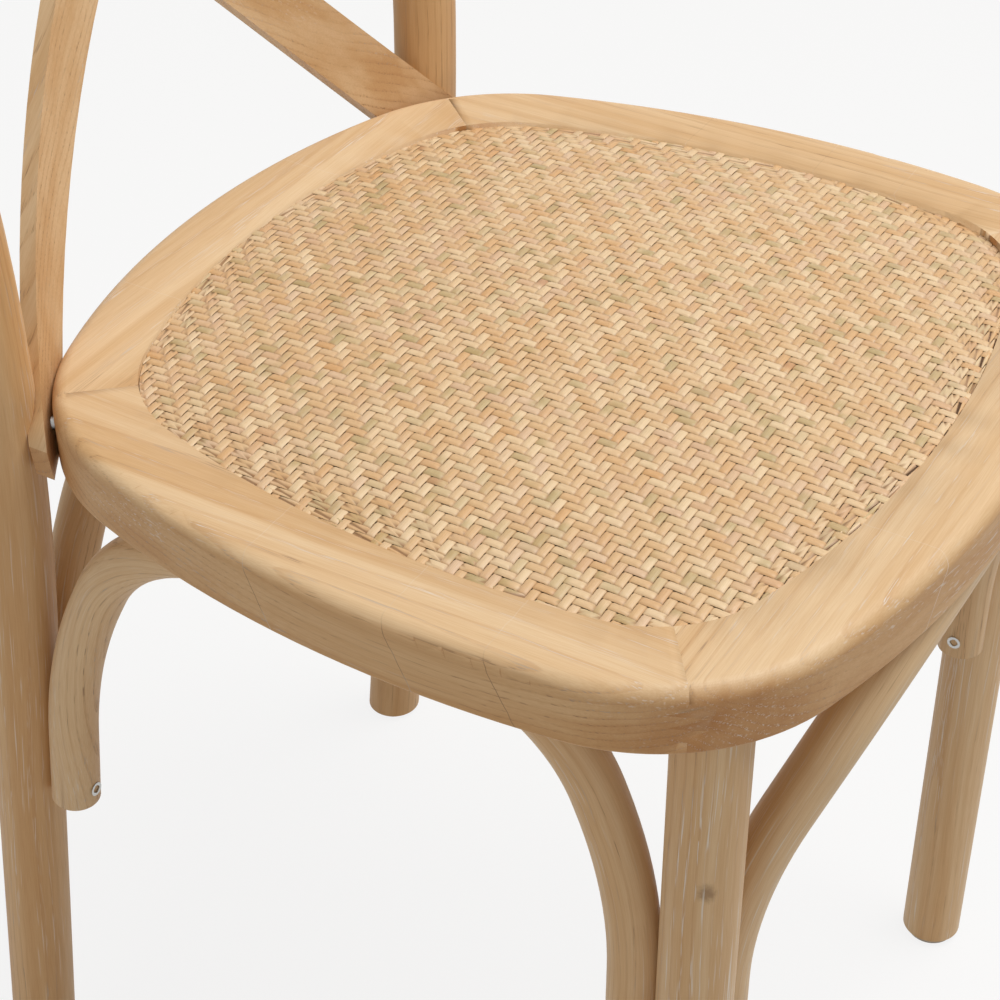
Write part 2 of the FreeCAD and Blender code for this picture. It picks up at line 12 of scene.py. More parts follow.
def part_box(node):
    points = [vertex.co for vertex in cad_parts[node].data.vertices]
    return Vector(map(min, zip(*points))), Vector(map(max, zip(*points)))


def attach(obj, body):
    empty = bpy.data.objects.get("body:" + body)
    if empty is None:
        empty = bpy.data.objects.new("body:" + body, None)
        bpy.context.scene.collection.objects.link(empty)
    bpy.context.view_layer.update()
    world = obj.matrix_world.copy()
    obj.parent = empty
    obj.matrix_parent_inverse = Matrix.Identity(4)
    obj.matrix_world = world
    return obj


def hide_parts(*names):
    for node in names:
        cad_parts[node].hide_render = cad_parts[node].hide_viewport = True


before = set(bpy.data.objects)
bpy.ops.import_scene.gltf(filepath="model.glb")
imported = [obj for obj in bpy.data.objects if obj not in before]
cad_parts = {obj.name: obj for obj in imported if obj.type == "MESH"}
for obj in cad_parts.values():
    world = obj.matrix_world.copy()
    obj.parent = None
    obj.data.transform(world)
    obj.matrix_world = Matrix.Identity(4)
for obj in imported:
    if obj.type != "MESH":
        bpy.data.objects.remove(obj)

bl_info = {
    "name": "Cross Back Chair",
    "version": (1, 0, 0),
    "blender": (4, 5, 0),
    "location": "View3D > Sidebar > Chair",
    "description": "Finishes a cross back chair: limed wood, a woven rattan mat and screws",
    "category": "Object",
}

BODY = "root"
MM = 0.001

SEAT_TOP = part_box("seat_rail_front")[1].z
SEAT_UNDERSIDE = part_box("seat_rail_front")[0].z
RAIL_MIDDLE = (SEAT_TOP + SEAT_UNDERSIDE) / 2
ROD_RADIUS = (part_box("front_leg_left")[1].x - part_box("front_leg_left")[0].x) / 2
ARCH_RADIUS = 11.5 * MM

# Corners of the hoop's middle line on the left side: the left foot, then the knee, and the
# bend and the shoulder as steps from the knee; the peak lies behind and above the shoulder
FOOT = (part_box("glide_rear_left")[0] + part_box("glide_rear_left")[1]) / 2
KNEE = Vector((0.1692, 0.1469, 0.418))
BEND_FROM_KNEE = Vector((4.0, 1.5, 152.0)) * MM
SHOULDER_FROM_KNEE = Vector((21.0, 54.0, 436.0)) * MM
PEAK_BEHIND_SHOULDER = 36 * MM
PEAK_ABOVE_SHOULDER = 20 * MM
# How far the rod's bends reach each way from knee, bend and shoulder
HOOP_REACHES = (75 * MM, 75 * MM, 88 * MM)

# Each arch: how far below the seat it springs, how far in its crown starts, and how much
# further out than its feet its crown lies
ARCH_SHAPES = {"arch_front": (121 * MM, 45 * MM, 40 * MM),
               "arch_rear": (106 * MM, 38.4 * MM, -18 * MM),
               "arch_left": (106 * MM, 38.4 * MM, 2 * MM),
               "arch_right": (106 * MM, 38.4 * MM, 2 * MM)}
# How far an arch's bends reach each way from spring and crown
ARCH_REACHES = (47 * MM, 52 * MM)

# The arches' screws: head size, place each side of the crown's middle and above the foot
SCREW_HEAD_RADIUS = 3.5 * MM
SCREW_FROM_MIDDLE = 35 * MM
SCREW_FROM_FOOT = 10 * MM
# Steps between the rays that look for an arch's surface across its width
SWEEP_STEPS = 60

# Where the rails' boards are glued end to end, at the middle of the rail's height, and how
# far the line moves along the rail for each metre of height
SIDE_RAIL_JOINTS = (-0.0095, -0.0755, -0.1185)
END_RAIL_JOINTS = (-0.0775, 0.0525)
GLUE_LINE_SLANT = 0.5
# The small knot on the right front leg: its height and its direction round the leg
KNOT_HEIGHT = 0.353
KNOT_DIRECTION = math.radians(30)

# The wood's noises as repeats per metre along the grain and twice across it
SLOW_WANDER = (3.0, 14.0, 14.0)
QUICK_WANDER = (11.0, 95.0, 95.0)
RING_WANDER = (1.0, 60.0, 60.0)
RING_STRENGTH = (2.0, 45.0, 45.0)
BANDS = (1.6, 75.0, 75.0)
PATCHES = (6.0, 30.0, 30.0)
FIBRES = (45.0, 2600.0, 2600.0)
PORE_DASHES = (62.0, 1900.0, 1900.0)
LIME_STREAKS = (16.0, 950.0, 950.0)
# How far the two wanders carry the growth rings across the grain
SLOW_REACH = 12 * MM
QUICK_REACH = 2.2 * MM

# The strands' noises as repeats per metre along a strand, from strand to strand and across one
CREAM_STRETCHES = (22.0, 9.0, 0.0)
HUE_STRETCHES = (13.0, 23.0, 0.0)
RARE_STRETCHES = (40.0, 31.0, 0.0)
STRAND_FIBRES = (60.0, 90.0, 11.0)
# Across a strand: place from its middle in half widths, and height against its middle in
# thicknesses
STRAND_SECTION = ((-1.0, -0.60), (-0.78, 0.0), (0.78, 0.0), (1.0, -0.60))
# How much a strand's width may shrink and how far it may lean, as shares of its size
NARROWEST = 0.93
STRAND_LEAN = 0.12
# How quickly a strand dives, where 1 would be a plain wave
DIVE_SHARPNESS = 1.9
# A point inside the mat's outline, on the chair's middle plane
MAT_INSIDE = (0.0, -0.05)
# How far apart two neighbouring strands, and the two directions, lie in the noises
STRAND_STEP = 0.37
DIRECTION_STEP = 50.0

STEEL_COLOUR = (0.60, 0.60, 0.58)
NYLON_COLOUR = (0.62, 0.56, 0.48)
# Painted shade: the near black sheet under the strands that darkens the gaps of the weave
SHADE_SHEET_COLOURS = ((0.070, 0.036, 0.016), (0.120, 0.064, 0.030))

# Lights: where they hang, how wide they are, and the fill's share of the top light's power
LIGHT_AIM = (0.0, 0.0, 0.45)
TOP_LIGHT_PLACE = (0.55, -0.75, 2.5)
TOP_LIGHT_SIZE = 1.5
SIDE_FILL_PLACE = (-1.8, 0.3, 1.2)
SIDE_FILL_SIZE = 1.2
SIDE_FILL_SHARE = 0.09
AMBIENT_COLOUR = (1.0, 0.96, 0.90)
WHITE = (1.0, 1.0, 1.0)
FLOOR_COLOUR = (0.70, 0.68, 0.65)
# The part of the floor's light that the camera sees as plain white
FLOOR_WHITE_SHARE = 0.85
FLOOR_HALF_SIZE = 6.0


def colour_setting(name, description, default):
    return FloatVectorProperty(name=name, description=description, subtype="COLOR", size=3,
                               min=0.0, max=1.0, default=default)


def length_setting(name, description, default):
    return FloatProperty(name=name, description=description, subtype="DISTANCE", min=0.0,
                         default=default)


class WoodSettings(bpy.types.PropertyGroup):
    pale: colour_setting("Pale wood", "Sanded late wood between the pore lines",
                         (0.745, 0.540, 0.322))
    warm: colour_setting("Warm wood", "Honey coloured bands along the grain",
                         (0.640, 0.410, 0.205))
    pore: colour_setting("Pores", "Dark open pores of the early wood", (0.270, 0.150, 0.070))
    lime: colour_setting("Lime", "White wash left in pores and round edges",
                         (0.780, 0.720, 0.640))
    # Painted shade: a tone that darkens and warms upright faces against the tops, as if less
    # light falls on them
    side_shade: colour_setting("Side shade", "Tone left on upright faces, which are sanded less",
                          (0.900, 0.790, 0.650))
    slat_edge_round: length_setting("Slat edge round", "Radius of the slats' edges", 1.4 * MM)
    knot_radius: length_setting("Knot radius", "Reach of the small knot on a leg", 5 * MM)
    ring_pitch: length_setting("Ring pitch", "Distance between two growth rings", 3.4 * MM)
    roughness: FloatProperty(name="Roughness", description="Roughness of the matt clear coat",
                             min=0.0, max=1.0, default=0.5)


class WeaveSettings(bpy.types.PropertyGroup):
    pitch: length_setting("Pitch", "Distance between neighbouring strands", 4.23 * MM)
    width: length_setting("Strand width", "Width of one strand of rattan peel", 4.05 * MM)
    thickness: length_setting("Strand thickness", "Thickness of one strand", 0.8 * MM)
    wave: length_setting("Wave", "How far a strand rises over and dips under", 0.5 * MM)
    crown_radius: length_setting("Crown radius", "Radius of the mat's gentle crown", 2.6)
    steps: IntProperty(name="Steps", description="Lengthwise steps from one strand to the next",
                       min=2, max=6, default=4)
    straw: colour_setting("Straw", "Commonest colour of the strands", (0.690, 0.455, 0.235))
    cream: colour_setting("Cream", "Palest strands", (0.780, 0.590, 0.360))
    blush: colour_setting("Blush", "Pinkish grey strands", (0.660, 0.440, 0.300))
    honey: colour_setting("Honey", "Orange stretches of strand", (0.640, 0.345, 0.135))
    olive: colour_setting("Olive", "Rare greenish strands", (0.420, 0.320, 0.130))
    spot: colour_setting("Spot", "Small red-brown marks", (0.420, 0.170, 0.070))
    shade: colour_setting("Shade", "Where a strand dives under its neighbour",
                          (0.300, 0.160, 0.075))


class StageSettings(bpy.types.PropertyGroup):
    azimuth: FloatProperty(name="Azimuth", description="Camera direction in plan",
                           subtype="ANGLE", default=math.radians(-59.52))
    elevation: FloatProperty(name="Elevation", description="Camera height above level",
                             subtype="ANGLE", default=math.radians(36.92))
    roll: FloatProperty(name="Roll", description="Turn of the camera about its axis",
                        subtype="ANGLE", default=math.radians(-0.31))
    distance: length_setting("Distance", "From the camera to its target", 0.9)
    target: FloatVectorProperty(name="Target", description="Point in the middle of the picture",
                                subtype="XYZ", size=3, default=(-0.12768, -0.07128, 0.46))
    lens: FloatProperty(name="Lens", description="Focal length in millimetres", min=1.0,
                        default=82.47)
    top_light: FloatProperty(name="Top light", description="Power of the soft top light in watts",
                             min=0.0, default=46.0)
    ambient: FloatProperty(name="Ambient", description="Strength of the light all round",
                           min=0.0, default=0.33)


# Shader helpers

def new_material(name):
    material = bpy.data.materials.new(name)
    material.use_nodes = True
    tree = material.node_tree
    shader = tree.nodes["Principled BSDF"]
    return material, tree, shader


def add_node(tree, kind, inputs=None, **settings):
    made = tree.nodes.new(kind)
    for name, value in settings.items():
        setattr(made, name, value)
    for socket, value in (inputs or {}).items():
        if isinstance(value, bpy.types.NodeSocket):
            tree.links.new(value, made.inputs[socket])
        else:
            made.inputs[socket].default_value = value
    return made


def maths(tree, operation, first, second=0.0, clamp=False):
    return add_node(tree, "ShaderNodeMath", {0: first, 1: second}, operation=operation,
                    use_clamp=clamp).outputs[0]


def vector_maths(tree, operation, first, second=(0.0, 0.0, 0.0)):
    made = add_node(tree, "ShaderNodeVectorMath", {0: first, 1: second}, operation=operation)
    return made.outputs["Value" if operation == "LENGTH" else "Vector"]


def scaled(tree, vector, factors):
    return vector_maths(tree, "MULTIPLY", vector, factors)


def attribute(tree, name, output="Vector"):
    return add_node(tree, "ShaderNodeAttribute", attribute_name=name).outputs[output]


def object_place(tree):
    return add_node(tree, "ShaderNodeTexCoord").outputs["Object"]


def noise(tree, vector, scale=1.0, detail=2.0, output="Fac"):
    return add_node(tree, "ShaderNodeTexNoise",
                    {"Vector": vector, "Scale": scale, "Detail": detail}).outputs[output]


def ramp(tree, value, low, high, reach=(0.0, 1.0)):
    """Value mapped smoothly from low..high to the two ends of reach."""
    return add_node(tree, "ShaderNodeMapRange",
                    {"Value": value, "From Min": low, "From Max": high, "To Min": reach[0],
                     "To Max": reach[1]}, interpolation_type="SMOOTHSTEP").outputs["Result"]


def mixed(tree, share, first, second, mode="MIX"):
    made = tree.nodes.new("ShaderNodeMix")
    made.data_type = "RGBA"
    made.blend_type = mode
    for socket, value in ((0, share), (6, first), (7, second)):
        if isinstance(value, bpy.types.NodeSocket):
            tree.links.new(value, made.inputs[socket])
        else:
            made.inputs[socket].default_value = value
    return made.outputs[2]


def rgba(colour):
    return (*colour, 1.0)


def add_bump(tree, shader, height, strength, distance):
    bump = add_node(tree, "ShaderNodeBump", {"Strength": strength, "Distance": distance,
                                             "Height": height})
    tree.links.new(bump.outputs["Normal"], shader.inputs["Normal"])


# Wood

def grain_place(tree, grain, pith):
    """Where a point lies in the log, with the growth rings' slow wander added."""
    place = vector_maths(tree, "ADD", grain, (0.0, *pith))
    for repeats, reach in ((SLOW_WANDER, SLOW_REACH), (QUICK_WANDER, QUICK_REACH)):
        drift = noise(tree, scaled(tree, grain, repeats), output="Color")
        place = vector_maths(tree, "ADD", place, scaled(tree, drift, (0.0, reach, reach)))
    return place


def early_wood(tree, place, ring_pitch):
    """1 in the porous early wood of each growth ring, fading to 0 in its late wood."""
    across = scaled(tree, place, (0.0, 1.0, 1.0))
    from_pith = vector_maths(tree, "LENGTH", across)
    uneven = noise(tree, scaled(tree, place, RING_WANDER), detail=1.0)
    count = maths(tree, "ADD", maths(tree, "DIVIDE", from_pith, ring_pitch), uneven)
    age = maths(tree, "FRACT", count)
    fading = ramp(tree, age, 0.0, 0.36, (1.0, 0.0))
    starting = ramp(tree, age, 0.94, 1.0)
    patchy = noise(tree, scaled(tree, place, RING_STRENGTH))
    strength = ramp(tree, patchy, 0.35, 0.62, (0.25, 1.0))
    return maths(tree, "MULTIPLY", maths(tree, "MAXIMUM", fading, starting), strength)


def upright_share(tree):
    """0 on a surface that lies flat, 1 on one that stands upright."""
    normal = add_node(tree, "ShaderNodeNewGeometry").outputs["Normal"]
    level = add_node(tree, "ShaderNodeSeparateXYZ", {0: normal}).outputs["Z"]
    return maths(tree, "SUBTRACT", 1.0, maths(tree, "ABSOLUTE", level))


def glue_lines(tree, axis, places):
    """1 on the thin, slightly slanting lines where a rail's boards are glued end to end."""
    spot = object_place(tree)
    parts = add_node(tree, "ShaderNodeSeparateXYZ", {0: spot}).outputs
    wander = maths(tree, "MULTIPLY", noise(tree, spot, scale=160.0), 1.2 * MM)
    shift = maths(tree, "MULTIPLY", parts["Z"], -GLUE_LINE_SLANT)
    slanted = maths(tree, "ADD", maths(tree, "ADD", parts[axis], shift), wander)
    lines = 0.0
    for place in places:
        centre = place - GLUE_LINE_SLANT * RAIL_MIDDLE
        gap = maths(tree, "ABSOLUTE", maths(tree, "SUBTRACT", slanted, centre))
        line = ramp(tree, gap, 0.08 * MM, 0.32 * MM, (1.0, 0.0))
        lines = maths(tree, "MAXIMUM", lines, line)
    return lines


def knot_mark(tree, place, radius):
    """1 in the middle of a small knot, fading out over its ragged edge."""
    raggedness = 4 * MM
    spot = object_place(tree)
    ragged = noise(tree, spot, scale=420.0, detail=3.0, output="Color")
    spot = vector_maths(tree, "ADD", spot, scaled(tree, ragged, (raggedness,) * 3))
    centre = tuple(part + raggedness / 2 for part in place)
    gap = vector_maths(tree, "SUBTRACT", spot, centre)
    gap = vector_maths(tree, "LENGTH", scaled(tree, gap, (1.0, 1.0, 0.7)))
    return ramp(tree, gap, 0.15 * radius, radius, (1.0, 0.0))


def wood_material(name, wood, lime_share, pith, side_shade_share=0.8, joints=None, knot=None):
    """Ash with its growth rings, open pores and lime, laid along the piece's grain.

    Lime and the side shade are shares of their full strength; the side shade is painted shade
    that darkens and warms upright faces against the tops. The pith is how far off the middle of
    the log the grain's zero line lies, in the two directions across it. Joints are an axis
    letter and the places of the glue lines on it.
    """
    material, tree, shader = new_material(name)
    grain = attribute(tree, "grain")
    cut = attribute(tree, "end_grain", "Fac")
    place = grain_place(tree, grain, pith)
    early = early_wood(tree, place, wood.ring_pitch)
    upright = upright_share(tree)

    bands = noise(tree, scaled(tree, place, BANDS), detail=3.0)
    patch = noise(tree, scaled(tree, grain, PATCHES))
    fibre = noise(tree, scaled(tree, place, FIBRES), detail=3.0)
    dash = noise(tree, scaled(tree, place, PORE_DASHES), detail=1.0)
    streak = noise(tree, scaled(tree, place, LIME_STREAKS))
    pores = maths(tree, "MULTIPLY", ramp(tree, dash, 0.55, 0.66), early)

    warm = rgba(wood.warm)
    colour = mixed(tree, ramp(tree, bands, 0.35, 0.68), rgba(wood.pale), warm)
    for share, tone in ((maths(tree, "MULTIPLY", early, 0.26), warm),
                        (ramp(tree, fibre, 0.3, 0.75, (0.0, 0.2)), warm),
                        # Painted shade: upright faces darkened and warmed against the tops
                        (ramp(tree, upright, 0.25, 0.95, (0.0, side_shade_share)), rgba(wood.side_shade)),
                        (ramp(tree, cut, 0.12, 0.75, (0.0, 0.55)), warm)):
        colour = mixed(tree, share, colour, tone, "MULTIPLY")
    if knot:
        mark = knot_mark(tree, knot, wood.knot_radius)
        colour = mixed(tree, maths(tree, "MULTIPLY", mark, 0.75), colour, rgba(wood.pore))

    limed = ramp(tree, patch, 0.60 - 0.3 * lime_share, 0.78 - 0.3 * lime_share)
    pore_tint = mixed(tree, limed, rgba(wood.pore), rgba(wood.lime))
    colour = mixed(tree, maths(tree, "MULTIPLY", pores, 0.8), colour, pore_tint)
    wiped = ramp(tree, streak, 0.60, 0.72)
    for share in (ramp(tree, upright, 0.15, 0.6, (0.1 * lime_share, lime_share)), limed,
                  ramp(tree, cut, 0.35, 0.85, (1.0, 0.25))):
        wiped = maths(tree, "MULTIPLY", wiped, share)
    colour = mixed(tree, wiped, colour, rgba(wood.lime))
    if joints:
        seam_strength = ramp(tree, upright, 0.2, 0.8, (0.15, 0.75))
        seam = maths(tree, "MULTIPLY", glue_lines(tree, *joints), seam_strength)
        filler = mixed(tree, ramp(tree, patch, 0.42, 0.55), rgba(wood.pore), rgba(wood.lime))
        colour = mixed(tree, seam, colour, filler)
    tree.links.new(colour, shader.inputs["Base Color"])

    rough = ramp(tree, fibre, 0.2, 0.8, (wood.roughness - 0.06, wood.roughness + 0.08))
    tree.links.new(rough, shader.inputs["Roughness"])
    shader.inputs["Specular IOR Level"].default_value = 0.35
    height = maths(tree, "SUBTRACT", maths(tree, "MULTIPLY", fibre, 0.25), pores)
    add_bump(tree, shader, height, 0.4, 0.15 * MM)
    return material


def new_piece(work, name):
    """Makes an object of a finished bmesh, in the shared frame."""
    mesh = bpy.data.meshes.new(name)
    work.to_mesh(mesh)
    work.free()
    piece = bpy.data.objects.new(name, mesh)
    bpy.context.scene.collection.objects.link(piece)
    return piece


def round_edges(work, radius):
    """Merges a piece's flat faces and rounds its sharp edges."""
    work.normal_update()
    bmesh.ops.dissolve_limit(work, angle_limit=math.radians(0.2), verts=work.verts,
                             edges=work.edges)
    work.normal_update()
    sharp = [edge for edge in work.edges
             if len(edge.link_faces) == 2 and edge.calc_face_angle() > math.radians(50)]
    bmesh.ops.bevel(work, geom=sharp, offset=radius, affect="EDGES", segments=3,
                    profile=0.5, material=-1, clamp_overlap=True)


def merged_copy(node, name, edge_round=0.0):
    """A copy of a node's mesh with its seams closed, and its edges rounded if asked."""
    work = bmesh.new()
    work.from_mesh(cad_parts[node].data)
    bmesh.ops.remove_doubles(work, verts=work.verts, dist=0.01 * MM)
    if edge_round:
        round_edges(work, edge_round)
    return new_piece(work, name)


def soften(piece):
    """Smooth shading between faces that meet at less than 32 degrees."""
    piece.data.shade_smooth()
    piece.data.set_sharp_from_angle(angle=math.radians(32.0))
    weighted = piece.modifiers.new("even_normals", "WEIGHTED_NORMAL")
    weighted.keep_sharp = True


def finish_piece(piece, node, material):
    """Gives a piece its material, and has it stand for its node."""
    piece.data.materials.clear()
    piece.data.materials.append(material)
    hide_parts(node)
    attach(piece, BODY)


def set_grain(piece, grain):
    """Stores where each vertex lies in the wood, and how far each face cuts the grain."""
    placed, along = grain
    mesh = piece.data
    places = [part for vertex in mesh.vertices for part in placed(vertex.co)]
    cuts = [abs(face.normal.dot(along(mesh.vertices[index].co))) for face in mesh.polygons
            for index in face.vertices]
    mesh.attributes.new("grain", "FLOAT_VECTOR", "POINT")
    mesh.attributes.new("end_grain", "FLOAT", "CORNER")
    mesh.attributes["grain"].data.foreach_set("vector", places)
    mesh.attributes["end_grain"].data.foreach_set("value", cuts)


def finish_wood(node, name, material, grain, edge_round=0.0):
    """Makes the piece that stands for a wooden node, with its grain."""
    piece = merged_copy(node, name, edge_round)
    set_grain(piece, grain)
    soften(piece)
    finish_piece(piece, node, material)


def straight_grain(along, offset):
    """Grain that runs one way through a sawn piece, as two functions of a point.

    The first gives the point's place along and across the grain, the second its direction.
    """
    along = Vector(along).normalized()
    side = along.orthogonal().normalized()
    if abs(along.z) < 0.9:
        side = along.cross(Vector((0.0, 0.0, 1.0))).normalized()
    other = along.cross(side)

    def placed(point):
        return Vector((point.dot(along), point.dot(side), point.dot(other))) + offset
    return placed, lambda point: along


def bent_route(points, reaches, step=4 * MM):
    """Points and directions along straight runs joined by tangent arcs.

    Each reach is how far its bend goes each way from the corner between two runs.
    """
    samples = []

    def run(start, end):
        count = max(1, math.ceil((end - start).length / step))
        for number in range(count):
            samples.append((start.lerp(end, number / count), (end - start).normalized()))

    start = points[0]
    for before, corner, after, reach in zip(points, points[1:], points[2:], reaches):
        incoming = (corner - before).normalized()
        outgoing = (after - corner).normalized()
        turn = incoming.angle(outgoing)
        radius = reach / math.tan(turn / 2)
        entry = corner - incoming * reach
        run(start, entry)
        centre = entry + (outgoing - incoming * math.cos(turn)).normalized() * radius
        axis = incoming.cross(outgoing).normalized()
        count = max(2, math.ceil(radius * turn / step))
        for number in range(count):
            spin = Matrix.Rotation(turn * number / count, 3, axis)
            samples.append((centre + spin @ (entry - centre), spin @ incoming))
        start = corner + outgoing * reach
    run(start, points[-1])
    samples.append((points[-1], samples[-1][1]))
    return samples


def bent_grain(samples, side, offset):
    """Grain that follows a bent rod, whatever way it turns, as straight_grain gives it."""
    tree = KDTree(len(samples))
    lengths = [0.0]
    for index, (point, _) in enumerate(samples):
        tree.insert(point, index)
        if index:
            lengths.append(lengths[-1] + (point - samples[index - 1][0]).length)
    tree.balance()
    side = Vector(side)

    def placed(point):
        _, index, _ = tree.find(point)
        centre, tangent = samples[index]
        across = (side - tangent * side.dot(tangent)).normalized()
        other = tangent.cross(across)
        gap = point - centre
        return Vector((lengths[index] + gap.dot(tangent), gap.dot(across),
                       gap.dot(other))) + offset
    return placed, lambda point: samples[tree.find(point)[1]][1]


def piece_offset(number):
    """A place of its own in the timber for each piece, so that no two look alike."""
    dice = random.Random(number)
    return Vector((dice.uniform(0, 5), dice.uniform(-0.01, 0.01), dice.uniform(-0.01, 0.01)))


class CHAIR_OT_seat_rails(bpy.types.Operator):
    """Finish the four mitred rails of the seat ring"""
    bl_idname = "chair.seat_rails"
    bl_label = "Seat rails"

    def execute(self, context):
        wood = context.scene.chair_wood
        ends = wood_material("limed_ash_end_rail", wood, 0.6, (0.05, 0.09), side_shade_share=1.0,
                             joints=("X", END_RAIL_JOINTS))
        sides = wood_material("limed_ash_side_rail", wood, 0.6, (0.05, 0.09), side_shade_share=0.8,
                              joints=("Y", SIDE_RAIL_JOINTS))
        rails = {"seat_rail_front": (ends, (1, 0, 0)), "seat_rail_back": (ends, (1, 0, 0)),
                 "seat_rail_left": (sides, (0, 1, 0)), "seat_rail_right": (sides, (0, 1, 0))}
        for number, (node, (material, way)) in enumerate(rails.items()):
            grain = straight_grain(way, piece_offset(number))
            finish_wood(node, node + "_wood", material, grain)
        return {"FINISHED"}


class CHAIR_OT_legs(bpy.types.Operator):
    """Finish the two turned front legs"""
    bl_idname = "chair.legs"
    bl_label = "Front legs"

    def execute(self, context):
        wood = context.scene.chair_wood
        low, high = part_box("front_leg_right")
        towards = Vector((-math.cos(KNOT_DIRECTION), -math.sin(KNOT_DIRECTION), 0.0))
        knot = (low + high) / 2 + towards * ROD_RADIUS
        knot.z = KNOT_HEIGHT
        material = wood_material("limed_ash_leg", wood, 0.8, (0.012, 0.03), side_shade_share=0.0,
                                 knot=knot)
        for number, node in enumerate(("front_leg_left", "front_leg_right")):
            middle = (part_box(node)[0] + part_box(node)[1]) / 2
            grain = straight_grain((0, 0, 1), piece_offset(10 + number) - middle)
            finish_wood(node, node + "_wood", material, grain)
        return {"FINISHED"}


def mirrored(point):
    return Vector((-point.x, point.y, point.z))


def hoop_route():
    """Middle line of the bent rod from the left foot over the crest to the right foot."""
    shoulder = KNEE + SHOULDER_FROM_KNEE
    peak = Vector((0.0, shoulder.y + PEAK_BEHIND_SHOULDER, shoulder.z + PEAK_ABOVE_SHOULDER))
    half = [Vector((FOOT.x, FOOT.y, 0.0)), KNEE, KNEE + BEND_FROM_KNEE, shoulder]
    points = half + [peak] + [mirrored(point) for point in reversed(half)]
    crest = (peak - shoulder).length - HOOP_REACHES[-1]
    return bent_route(points, [*HOOP_REACHES, crest, *reversed(HOOP_REACHES)])


class CHAIR_OT_hoop(bpy.types.Operator):
    """Finish the bent hoop: both posts and the crest"""
    bl_idname = "chair.hoop"
    bl_label = "Back hoop"

    def execute(self, context):
        wood = context.scene.chair_wood
        material = wood_material("limed_ash_hoop", wood, 0.5, (0.02, 0.04))
        route = hoop_route()
        for number, node in enumerate(("crest_hoop", "rear_post_left", "rear_post_right")):
            grain = bent_grain(route, (0, 1, 0), piece_offset(20 + number))
            finish_wood(node, node + "_wood", material, grain)
        return {"FINISHED"}


def arch_route(node):
    """Middle line of an arch, worked out from its box, and the way it runs in plan.

    The line goes up one side, across and down the other.
    """
    spring_drop, crown_in, bow = ARCH_SHAPES[node]
    low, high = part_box(node)
    size = high - low
    middle = (low + high) / 2
    lengthwise = Vector((1, 0, 0)) if size.x > size.y else Vector((0, 1, 0))
    outward = Vector((1, 0, 0)) if size.y > size.x else Vector((0, 1, 0))
    if middle.dot(outward) < 0:
        outward = -outward
    half = size.dot(lengthwise) / 2 - ARCH_RADIUS
    rows = ((0.0, -bow / 2, low.z), (0.0, -bow / 2, SEAT_UNDERSIDE - spring_drop),
            (crown_in, bow / 2, SEAT_UNDERSIDE - ARCH_RADIUS))
    sides = []
    for way in (-1, 1):
        side = [middle + lengthwise * way * (half - inward) + outward * out
                for inward, out, _ in rows]
        for point, (_, _, level) in zip(side, rows):
            point.z = level
        sides.append(side)
    route = bent_route(sides[0] + sides[1][::-1], [*ARCH_REACHES, *reversed(ARCH_REACHES)])
    return route, lengthwise


class CHAIR_OT_arches(bpy.types.Operator):
    """Finish the four arched braces under the seat"""
    bl_idname = "chair.arches"
    bl_label = "Arches"

    def execute(self, context):
        wood = context.scene.chair_wood
        material = wood_material("limed_ash_arch", wood, 0.6, (0.01, 0.03), side_shade_share=0.0)
        for number, node in enumerate(("arch_front", "arch_rear", "arch_left", "arch_right")):
            route, lengthwise = arch_route(node)
            side = lengthwise.cross(Vector((0, 0, 1)))
            grain = bent_grain(route, side, piece_offset(30 + number))
            finish_wood(node, node + "_wood", material, grain)
        return {"FINISHED"}


class CHAIR_OT_slats(bpy.types.Operator):
    """Finish the two crossed slats of the back"""
    bl_idname = "chair.slats"
    bl_label = "Back slats"

    def execute(self, context):
        wood = context.scene.chair_wood
        material = wood_material("limed_ash_slat", wood, 0.2, (0.03, 0.08), side_shade_share=0.0)
        ways = {"back_slat_front": (-1, 0, 1), "back_slat_rear": (1, 0, 1)}
        for number, (node, way) in enumerate(ways.items()):
            grain = straight_grain(way, piece_offset(40 + number))
            finish_wood(node, node + "_wood", material, grain,
                        edge_round=wood.slat_edge_round)
        return {"FINISHED"}


# Woven mat

def mat_outline():
    """The mat's outline as points in order round the seat, read from its mesh."""
    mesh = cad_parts["rattan_mat"].data
    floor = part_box("rattan_mat")[0].z
    ring = {(round(v.co.x, 5), round(v.co.y, 5)) for v in mesh.vertices
            if v.co.z < floor + 0.1 * MM}
    return sorted(ring, key=lambda point: math.atan2(point[1] - MAT_INSIDE[1],
                                                     point[0] - MAT_INSIDE[0]))


def chord(outline, axis, level):
    """Lowest and highest place where a line across the outline meets it, or None."""
    hits = []
    for first, second in zip(outline, outline[1:] + outline[:1]):
        low, high = first[axis], second[axis]
        if (low - level) * (high - level) <= 0 and low != high:
            share = (level - low) / (high - low)
            other = 1 - axis
            hits.append(first[other] + share * (second[other] - first[other]))
    return (min(hits), max(hits)) if len(hits) > 1 else None


def float_height(place):
    """Two over and two under: +1 on top, -1 below, by place in strands."""
    wave = math.cos((place - 0.5) * math.pi / 2) * DIVE_SHARPNESS
    return math.sin(math.pi / 2 * max(-1.0, min(1.0, wave)))


